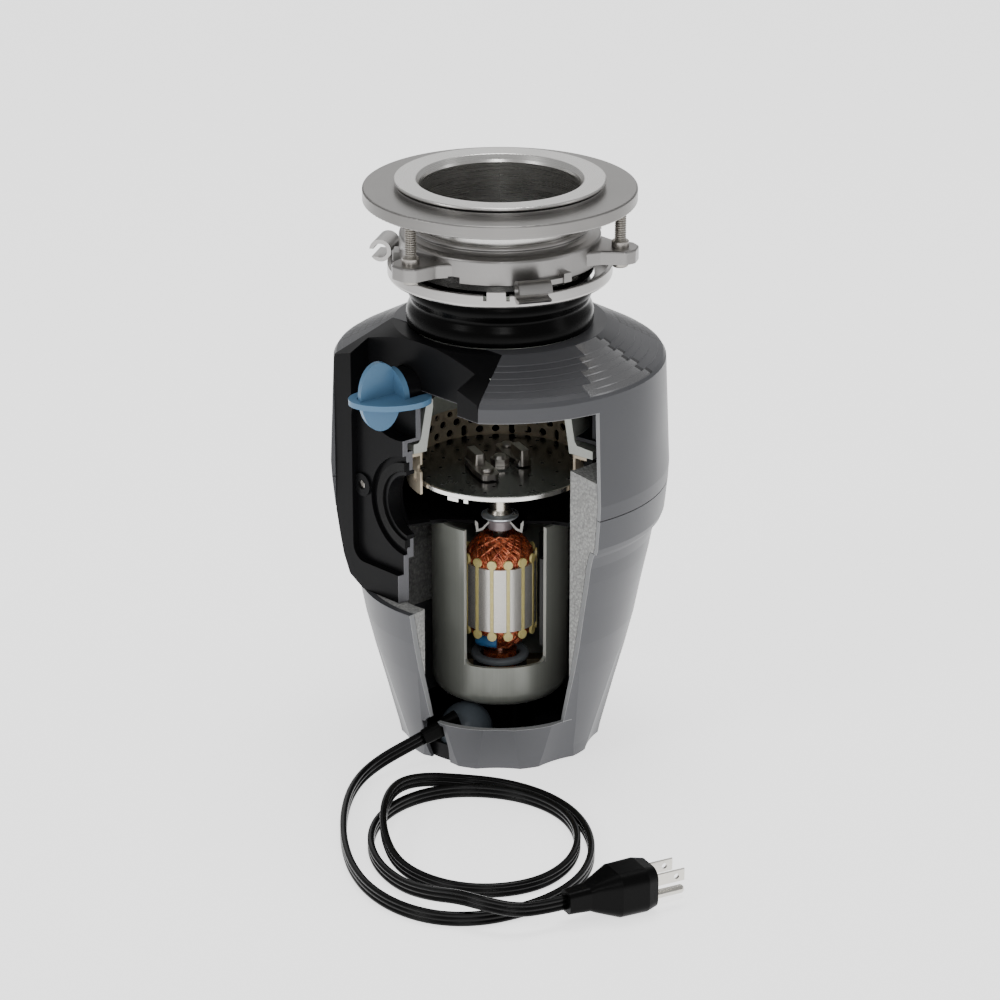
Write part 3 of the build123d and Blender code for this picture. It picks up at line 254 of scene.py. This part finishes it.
def make_shell_paint():
    """Grey shell: satin, with a painted highlight along the edges where the display has been cut."""
    m = Looks("grey_shell_paint")
    x, y, z = m.split()
    peel = m.noise(1500, 2.0, 0.5)
    clouds = m.noise(16, 4.0, 0.5)
    base = m.mix(clouds, (0.076, 0.077, 0.083), (0.090, 0.091, 0.097))
    angle = m.azimuth(x, y)
    # Masks for the cut edges, which are painted light as a painted highlight.
    right = m.math("COMPARE", angle, radians(SHELL_CUT_RIGHT), 0.003)
    left = m.math("COMPARE", angle, radians(SHELL_CUT_LEFT_LOW), 0.003)
    high_left = m.math("COMPARE", angle, radians(SHELL_CUT_LEFT_HIGH), 0.003)
    low = m.math("LESS_THAN", z, 0.0965)
    high_left = m.math("MULTIPLY", high_left, m.math("SUBTRACT", 1.0, low))
    left = m.math("MULTIPLY", left, low)
    cut_edge_highlight = m.math("MAXIMUM", m.math("MAXIMUM", right, left), high_left)
    open_part = m.math("MULTIPLY", m.math("GREATER_THAN", z, 0.0265),
                       m.math("LESS_THAN", z, WINDOW_TOP + CUT_FACE))
    inside = m.math("COMPARE", angle, radians(-8.0), radians(43.2))
    lintel = m.math("MULTIPLY", m.math("COMPARE", z, WINDOW_TOP, CUT_FACE), inside)
    cut_edge_highlight = m.math("MAXIMUM", m.math("MULTIPLY", cut_edge_highlight, open_part), lintel)
    sill = m.math("MULTIPLY", m.math("COMPARE", z, WINDOW_SILL, CUT_FACE),
                  m.math("LESS_THAN", m.math("ABSOLUTE", angle), 0.7))
    cut_edge_highlight = m.math("MAXIMUM", cut_edge_highlight, sill)
    # Shoulder: a polished zone whose edge climbs in steps, its lighter colour a painted highlight; a
    # crenellated line and two lattices.
    radius = m.radius(x, y)
    ring = m.math("DIVIDE", m.math("SUBTRACT", radius, RING_START), RING_STEP)
    step = m.math("FLOOR", ring)
    odd = m.math("MODULO", step, 2.0)
    on_top = m.math("MULTIPLY", m.math("GREATER_THAN", z, 0.2275), m.math("GREATER_THAN", radius, 0.0586))
    edge = m.math("ADD", m.math("MULTIPLY", step, radians(-1.9)), m.math("MULTIPLY", odd, radians(2.4)))
    edge = m.math("ADD", edge, radians(43.0))
    past = m.math("GREATER_THAN", angle, edge)
    before = m.math("LESS_THAN", angle, m.math("ADD", radians(61.0), m.math("MULTIPLY", odd, radians(3.0))))
    polished_with_painted_highlight = m.math("MULTIPLY", on_top, m.math("MULTIPLY", past, before))
    tooth = m.math("COMPARE", angle, m.math("ADD", radians(62.0), m.math("MULTIPLY", odd, radians(3.0))),
                   radians(1.0))
    tooth = m.math("MULTIPLY", on_top, tooth)
    side = m.math("ABSOLUTE", angle)
    lattice = m.math("MULTIPLY", m.math("GREATER_THAN", side, radians(96.0)),
                     m.math("LESS_THAN", side, radians(128.0)))
    bars_round = m.math("LESS_THAN", m.math("FRACT", ring), 0.22)
    bars_out = m.math("LESS_THAN", m.math("FRACT", m.math("DIVIDE", side, radians(4.0))), 0.2)
    lattice = m.math("MULTIPLY", m.math("MULTIPLY", lattice, on_top), m.math("MAXIMUM", bars_round, bars_out))
    dark = m.math("MAXIMUM", tooth, lattice)
    # The polished zone is painted lighter as a painted highlight, besides its real lower roughness and higher
    # metallic.
    base = m.mix(m.math("MULTIPLY", polished_with_painted_highlight, 0.8), base, (0.25, 0.25, 0.255))
    base = m.mix(m.math("MULTIPLY", dark, 0.85), base, (0.03, 0.03, 0.032))
    # The cut edges get a light colour: a painted highlight along each cut.
    m.colour(m.mix(m.math("MULTIPLY", cut_edge_highlight, 0.75), base, (0.34, 0.345, 0.35)))
    m.rough(m.math("SUBTRACT", m.spread(clouds, 0.3, 0.7, 0.30, 0.40), m.math("MULTIPLY", polished_with_painted_highlight, 0.13)))
    m.bump(m.math("SUBTRACT", m.math("MULTIPLY", peel, 0.1), dark), 0.00025, 0.6)
    m.put(m.shader.inputs["Metallic"], m.math("ADD", 0.15, m.math("MULTIPLY", polished_with_painted_highlight, 0.6)))
    m.set(Specular_IOR_Level=0.16)
    return m.material


def make_cut_plastic(name, inside, edge, azimuths, rough=0.4, metallic=0.0, reach=1.0):
    """A dark moulding or pressing painted light where it has been cut: a painted highlight along the cut
    edges.
    """
    m = Looks(name)
    x, y, z = m.split()
    angle = m.azimuth(x, y)
    middle = radians((azimuths[0] + INNER_CUTS[1]) / 2)
    cut_edge_highlight = m.math("MULTIPLY", m.math("COMPARE", z, WINDOW_TOP, CUT_FACE),
                 m.math("COMPARE", angle, middle, radians(INNER_CUTS[1] + 0.2) - middle))
    below = m.math("LESS_THAN", z, WINDOW_TOP + CUT_FACE)
    for azimuth in azimuths:
        face = m.math("MULTIPLY", m.math("COMPARE", angle, radians(azimuth), 0.006), below)
        cut_edge_highlight = m.math("MAXIMUM", cut_edge_highlight, face)
    radius = m.radius(x, y)
    cut_edge_highlight = m.math("MULTIPLY", cut_edge_highlight, m.math("LESS_THAN", radius, reach))
    peel = m.noise(1300, 3.0, 0.55)
    dust = m.noise(30, 4.0, 0.6)
    base = m.mix(dust, tint(inside, 0.85), tint(inside, 1.2))
    # The cut faces get the edge colour: a painted highlight.
    m.colour(m.mix(cut_edge_highlight, base, m.mix(peel, tint(edge, 0.85), tint(edge, 1.1))))
    m.rough(m.spread(dust, 0.3, 0.7, rough - 0.05, rough + 0.08))
    m.bump(peel, 0.00005, 0.4)
    m.set(Metallic=metallic, Specular_IOR_Level=0.06)
    return m.material


def make_foam():
    """Foam: pale beads in a grey skin, open pores and a rough cut."""
    m = Looks("bead_foam")
    beads = m.cells(520)
    fine = m.noise(900, 4.0, 0.7)
    clouds = m.noise(40, 4.0, 0.6)
    speck = m.math("MULTIPLY", m.spread(beads, 0.05, 0.6), fine)
    tone = m.math("ADD", m.math("MULTIPLY", speck, 0.9), m.math("MULTIPLY", clouds, 0.35))
    m.colour(m.mix(tone, (0.50, 0.50, 0.485), (0.16, 0.16, 0.158)))
    m.rough(0.85)
    m.bump(m.math("ADD", beads, m.math("MULTIPLY", fine, 0.6)), 0.0006, 0.8)
    return m.material


def make_can_paint():
    """Motor can: drawn steel with an olive-grey finish and faint vertical draw marks."""
    m = Looks("olive_grey_can")
    streaks = m.noise(1.0, 3.0, 0.6, vector=m.round_coords(46, 60, 7))
    fine = m.noise(1400, 2.0, 0.5)
    paint = m.mix(streaks, (0.190, 0.197, 0.176), (0.245, 0.252, 0.227))
    x, y, z = m.split()
    angle = m.azimuth(x, y)
    # The window's cut edges are painted light: bare steel at the cut, with a painted highlight along the
    # edge.
    left, right = (m.math("COMPARE", angle, radians(azimuth), 0.006) for azimuth in CAN_CUTS)
    cut_edge_highlight = m.math("MULTIPLY", m.math("MAXIMUM", left, right), m.math("GREATER_THAN", z, CAN_WINDOW_SILL))
    m.colour(m.mix(cut_edge_highlight, paint, (0.50, 0.50, 0.46)))
    m.rough(m.spread(streaks, 0.3, 0.7, 0.30, 0.42))
    m.bump(fine, 0.00004, 0.4)
    m.set(Metallic=0.3)
    return m.material


def make_disc_steel():
    """Turntable: dark polished disc, ring marks from turning and a rolled rim painted bright as a painted
    highlight.
    """
    m = Looks("dark_polished_disc")
    x, y, _ = m.split()
    radius = m.radius(x, y)
    rings = m.noise(1.0, 2.0, 0.6, vector=m.round_coords(0.8, 2200, 900))
    smudge = m.noise(55, 5.0, 0.65)
    rim_highlight = m.spread(radius, 0.0478, 0.0483)
    dark = m.mix(smudge, (0.13, 0.13, 0.13), (0.28, 0.28, 0.277))
    # The rolled rim is painted near white: a painted highlight.
    m.colour(m.mix(rim_highlight, dark, (0.80, 0.79, 0.76)))
    m.rough(m.spread(smudge, 0.3, 0.7, 0.16, 0.30))
    m.bump(rings, 0.00003, 0.4)
    m.set(Metallic=1.0)
    return m.material


def make_laminations():
    """Armature core: stacked steel sheets seen edge on, lacquered."""
    m = Looks("armature_laminations")
    _, _, z = m.split()
    wave = m.math("SINE", m.math("MULTIPLY", z, 2 * pi / 0.00065))
    grain = m.noise(700, 3.0, 0.6, vector=m.round_coords(0.4, 1.0, 9.0))
    m.colour(m.mix(m.spread(wave, -1.0, 1.0, 0.25, 0.75), (0.52, 0.50, 0.465), (0.84, 0.81, 0.76)))
    m.rough(m.spread(grain, 0.3, 0.7, 0.24, 0.36))
    m.bump(wave, 0.00005, 0.35)
    m.set(Metallic=0.65)
    return m.material


def make_copper():
    """Enamelled copper wire: red-brown lacquer over metal."""
    m = Looks("enamelled_copper")
    tone = m.noise(320, 3.0, 0.6)
    fine = m.noise(1800, 2.0, 0.5)
    m.colour(m.mix(m.spread(tone, 0.3, 0.7), (0.24, 0.026, 0.010), (0.90, 0.26, 0.105)))
    m.rough(m.spread(fine, 0.3, 0.7, 0.22, 0.34))
    m.bump(fine, 0.00003, 0.4)
    m.set(Metallic=0.75, Coat_Weight=0.6, Coat_Roughness=0.12)
    return m.material


def make_film():
    """Slot liners: yellow polyester film, lightly wrinkled."""
    m = Looks("yellow_film")
    wrinkle = m.noise(500, 3.0, 0.6)
    m.colour(m.mix(wrinkle, (0.58, 0.46, 0.13), (0.86, 0.76, 0.36)))
    m.rough(m.spread(wrinkle, 0.3, 0.7, 0.28, 0.42))
    m.bump(wrinkle, 0.0002, 0.5)
    return m.material


shell_paint = make_shell_paint()
pan_black = make_cut_plastic("black_drain_pan", (0.005, 0.005, 0.0055), (0.55, 0.55, 0.52), INNER_CUTS, 0.35,
                             reach=0.0165)
casting = make_cut_plastic("cut_aluminium_casting", (0.40, 0.42, 0.38), (0.56, 0.58, 0.54), INNER_CUTS,
                           0.42, 0.4)
panel_black = make_cut_plastic("black_panel", (0.0055, 0.0055, 0.006), (0.16, 0.16, 0.17),
                               (SHELL_CUT_LEFT_HIGH,), 0.32)
foam = make_foam()
can_paint = make_can_paint()
disc_steel = make_disc_steel()
laminations = make_laminations()
copper = make_copper()
film = make_film()

use(bright_steel, "sink_flange")
use(satin_steel, "backing_ring", "snap_ring")
use(zinc, "mounting_ring")
use(sheet_steel, "locking_ring")
use(screw_steel, "mounting_screw_1", "mounting_screw_2", "mounting_screw_3", "screw_collars", "chamber_bolts",
    "panel_screw", "brush_springs", "hub_nut", "impeller_rivets", "impeller_1", "impeller_2")
use(glossy_rubber, "neck_bellows", "splash_guard")
use(flat_rubber, "sink_gasket", "port_seal")
use(panel_black, "port_panel")
use(black_plastic, "base_plate", "drain_outlet", "inlet_tube", "motor_support", "overload_protector")
use(dark_baffle, "sound_baffle")
use(shell_paint, "upper_shell", "trim_band", "lower_shell")
use(foam, "foam_insulation")
use(can_paint, "motor_can")
use(casting, "chamber_casting")
use(pan_black, "end_frame")
use(boss_metal, "bearing_housing")
use(washer_metal, "slinger_washer")
use(beige_steel, "shredder_ring")
use(disc_steel, "turntable")
use(pale_brass, "hub_sleeve", "motor_shaft")
use(brass, "lower_bearing", "brush_holders")
use(laminations, "armature_core")
use(film, "slot_liners")
use(copper, "winding_upper", "winding_lower", "commutator")
use(putty_blue, "balance_putty")
use(ferrite, "magnets")
use(carbon, "carbon_brushes")
use(slate_plastic, "terminal_cover")
use(ring_plastic, "brush_ring")
use(red_plastic, "reset_button")
use(board_green, "rectifier_board")
use(blue_plastic, "inlet_plug")
use(plug_black, "plug_body", "strain_relief")
use(blade_metal, "plug_blades", "ground_pin")
use(cord_black, "power_cord")


# ----------------------------------------------------------------------------- new pieces


def new_object(name, verts, faces, material, body):
    mesh = bpy.data.meshes.new(name)
    mesh.from_pydata(verts, [], faces)
    mesh.update()
    mesh.polygons.foreach_set("use_smooth", [True] * len(mesh.polygons))
    mesh.materials.append(material)
    obj = bpy.data.objects.new(name, mesh)
    bpy.context.scene.collection.objects.link(obj)
    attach(obj, body)
    return obj


def tube(points, radius, sides, verts, faces):
    """Appends a closed round tube along these points, narrower at its two ends."""
    count = len(points)
    first = len(verts)
    up = Vector((0.13, 0.21, 1.0)).normalized()
    for i, p in enumerate(points):
        along = (points[min(i + 1, count - 1)] - points[max(i - 1, 0)]).normalized()
        side = along.cross(up).normalized()
        top = side.cross(along).normalized()
        r = radius * (0.55 if i in (0, count - 1) else 1.0)
        for k in range(sides):
            a = 2 * pi * k / sides
            verts.append(p + side * (cos(a) * r) + top * (sin(a) * r))
    for i in range(count - 1):
        for k in range(sides):
            a = first + i * sides + k
            b = first + i * sides + (k + 1) % sides
            faces.append((a, b, b + sides, a + sides))
    faces.append(tuple(first + k for k in reversed(range(sides))))
    last = first + (count - 1) * sides
    faces.append(tuple(last + k for k in range(sides)))


# The cord's route, with the flat cord standing on its edge.
cord_route = [
    (-42.5, -50.5, 17.5), (-55, -56, 12.8), (-66.5, -62.5, 8.3), (-75.5, -73, 5.2),
    (-80.8, -89, 4.2), (-83.5, -109, 4.1), (-84, -132, 4.1), (-82.2, -157, 4.1),
    (-77, -183, 4.1), (-67, -207, 4.1), (-51, -226, 4.1), (-31, -236.5, 4.1),
    (-9, -236.5, 4.1), (12, -227, 4.1), (30, -212.5, 4.1), (43, -192, 4.1),
    (48.8, -167, 4.1), (47.5, -141, 4.1), (39.5, -117, 4.1), (24, -96.5, 4.1),
    (2, -82.5, 4.1), (-21, -79, 4.9), (-42, -87, 10), (-56, -105, 15),
    (-62.2, -128.5, 15), (-62, -152, 10), (-55, -175, 4.6), (-40.5, -194, 4.1),
    (-20, -205.5, 4.1), (2, -206, 4.1), (22, -197, 4.1), (35.5, -179, 4.1),
    (41.4, -157, 4.1), (40.5, -134.5, 4.1), (32, -113.5, 4.1), (15.5, -97.5, 4.1),
    (-5, -89.6, 4.1), (-27, -89.2, 4.1), (-46.5, -98, 4.1), (-60.5, -114, 4.1),
    (-68, -135, 4.1), (-68.8, -158, 4.1), (-62.5, -181.5, 4.1), (-50, -202, 4.8),
    (-35.5, -219.5, 9.5), (-21, -233, 15), (-6.5, -241.5, 15), (8, -244.5, 13.3),
    (21.56, -240.08, 12.5), (33.5, -234.0, 12.5),
]


def route_line(route):
    """Points along the smooth line that the route's points control."""
    curve = bpy.data.curves.new("route", "CURVE")
    curve.dimensions = "3D"
    curve.resolution_u = 8
    spline = curve.splines.new("NURBS")
    spline.points.add(len(route) - 1)
    for point, (x, y, z) in zip(spline.points, route):
        point.co = (x * MM, y * MM, z * MM, 1.0)
    spline.order_u = 3
    spline.use_endpoint_u = True
    obj = bpy.data.objects.new("route", curve)
    bpy.context.scene.collection.objects.link(obj)
    bpy.context.view_layer.update()
    mesh = bpy.data.meshes.new_from_object(obj)
    line = [v.co.copy() for v in mesh.vertices]
    bpy.data.objects.remove(obj)
    bpy.data.meshes.remove(mesh)
    return line


def make_cord():
    """Flat three-core cord: three round lobes side by side, standing on edge."""
    line = route_line(cord_route)
    outline = []
    lobe = 1.42
    for centre in (-2.62, 0.0, 2.62):
        steps = 7  # points round each lobe, on each side
        for k in range(steps):
            a = radians(-62 + 124 * k / (steps - 1))
            if centre < 0 and k == 0:
                a = radians(-90)
            if centre > 0 and k == steps - 1:
                a = radians(90)
            outline.append((cos(a) * 1.85, centre + sin(a) * lobe))
    outline = outline + [(-x, y) for x, y in reversed(outline)]
    clean = []
    for p in outline:
        if not clean or (abs(p[0] - clean[-1][0]) + abs(p[1] - clean[-1][1])) > 0.05:
            clean.append(p)
    outline = clean
    n = len(outline)
    verts, faces = [], []
    for i, p in enumerate(line):
        along = (line[min(i + 1, len(line) - 1)] - line[max(i - 1, 0)]).normalized()
        side = along.cross(Vector((0, 0, 1))).normalized()
        up = side.cross(along).normalized()
        for u, v in outline:
            verts.append(p + side * (u * MM) + up * (v * MM))
    for i in range(len(line) - 1):
        for k in range(n):
            a = i * n + k
            b = i * n + (k + 1) % n
            faces.append((a, a + n, b + n, b))
    faces.append(tuple(range(n)))
    last = (len(line) - 1) * n
    faces.append(tuple(last + k for k in reversed(range(n))))
    obj = new_object("cord_flex", verts, faces, cord_black, "housing")
    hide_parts("power_cord")
    return obj


make_cord()


def make_windings():
    """Armature end windings: bundles of wire that cross over from slot to slot."""
    slots = 14
    bends = 14
    wire_radius = 0.00066
    turn_gap = 0.05
    for name, node, z0, z_top, r_out, r_in, turns in (
        ("winding_wires_upper", "winding_upper", 0.1050, 0.1215, 0.0186, 0.0078, 5),
        ("winding_wires_lower", "winding_lower", 0.0675, 0.0520, 0.0172, 0.0088, 5),
    ):
        verts, faces = [], []
        for layer in range(2):
            for s in range(slots):
                start = 2 * pi * s / slots
                span = 2 * pi * (5 + layer * 0.35) / slots
                for t in range(turns):
                    shift = (t - turns / 2) * turn_gap
                    lift = 0.42 + 0.58 * (t + 0.6 * layer) / (turns + 0.6)
                    points = []
                    for k in range(bends + 1):
                        f = k / bends
                        hump = sin(pi * f) ** 0.75
                        a = start + shift + span * f
                        wave = 0.00035 * sin(7.0 * a + 2.3 * t + 1.7 * layer)
                        reach = r_out - (r_out - r_in) * hump ** 1.7 * (0.35 + 0.62 * lift) + wave
                        z = z0 + (z_top - z0) * hump ** 0.8 * lift - wave
                        points.append(Vector((sin(a) * reach, -cos(a) * reach, z)))
                    tube(points, wire_radius, 8, verts, faces)
        obj = new_object(name, verts, faces, copper, "rotor")
        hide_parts(node)


make_windings()


# ----------------------------------------------------------------------------- floor, light, camera


def make_stage():
    mesh = bpy.data.meshes.new("studio_floor")
    size = 9.0
    corners = [(-size, -size, 0), (size, -size, 0), (size, size, 0), (-size, size, 0)]
    mesh.from_pydata(corners, [], [(0, 1, 2, 3)])
    floor = bpy.data.objects.new("studio_floor", mesh)
    bpy.context.scene.collection.objects.link(floor)
    m = Looks("studio_glowing_floor")
    grain = m.noise(3, 2.0, 0.5)
    m.colour(m.mix(grain, (0.90, 0.90, 0.90), (0.93, 0.93, 0.93)))
    m.rough(0.9)
    # The floor glows as painted light: its emission is brightest in a strip running front to back and falls
    # off to both sides of it.
    x, y, _ = m.split()
    glow_strip = m.spread(m.math("ABSOLUTE", x), 0.50, 0.95, 1.0, 0.0)
    glow_front_falloff = m.spread(m.math("MULTIPLY", y, -1.0), 0.45, 1.3, 1.0, 0.45)
    glow = m.mix(m.math("MULTIPLY", glow_strip, glow_front_falloff), (0.16, 0.16, 0.16), (1.0, 1.0, 1.0))
    # Emission makes the floor glow though it is no lamp: painted light.
    m.put(m.shader.inputs["Emission Color"], glow)
    m.set(Emission_Strength=1.5, Specular_IOR_Level=0.1)
    mesh.materials.append(m.material)


def area_light(name, place, target, size, power, size_y=None):
    data = bpy.data.lights.new(name, "AREA")
    data.energy = power
    data.size = size
    if size_y:
        data.shape = "RECTANGLE"
        data.size_y = size_y
    obj = bpy.data.objects.new(name, data)
    obj.location = place
    obj.rotation_euler = (Vector(target) - Vector(place)).to_track_quat("-Z", "Y").to_euler()
    bpy.context.scene.collection.objects.link(obj)
    return obj


make_stage()
world = bpy.data.worlds.new("studio")
world.use_nodes = True
world.node_tree.nodes["Background"].inputs[0].default_value = (1, 1, 1, 1)
world.node_tree.nodes["Background"].inputs[1].default_value = 0.45
bpy.context.scene.world = world
area_light("key_left", (-1.5, -1.2, 1.3), (0, 0, 0.15), 0.5, 7)
area_light("rim_right", (1.8, -0.35, 0.7), (0, 0, 0.15), 0.35, 2.5, size_y=1.4)
area_light("top", (0.1, 0.3, 1.9), (0, 0, 0.2), 0.8, 14)
area_light("front", (0.1, -1.6, 1.0), (0, 0, 0.13), 0.4, 3.5)
area_light("back", (0, 2.6, 1.35), (0, 0, 0.2), 3.0, 8, size_y=1.2)

camera_data = bpy.data.cameras.new("camera")
camera_data.sensor_width = 36.0
camera_data.lens = 131.66
camera_data.clip_start = 0.05
camera_data.clip_end = 50.0
camera = bpy.data.objects.new("camera", camera_data)
camera.location = (0.0, -1.8843, 0.8912)
camera.rotation_euler = (pi / 2 - 0.3798, 0.0, 0.0)
bpy.context.scene.collection.objects.link(camera)
bpy.context.scene.camera = camera
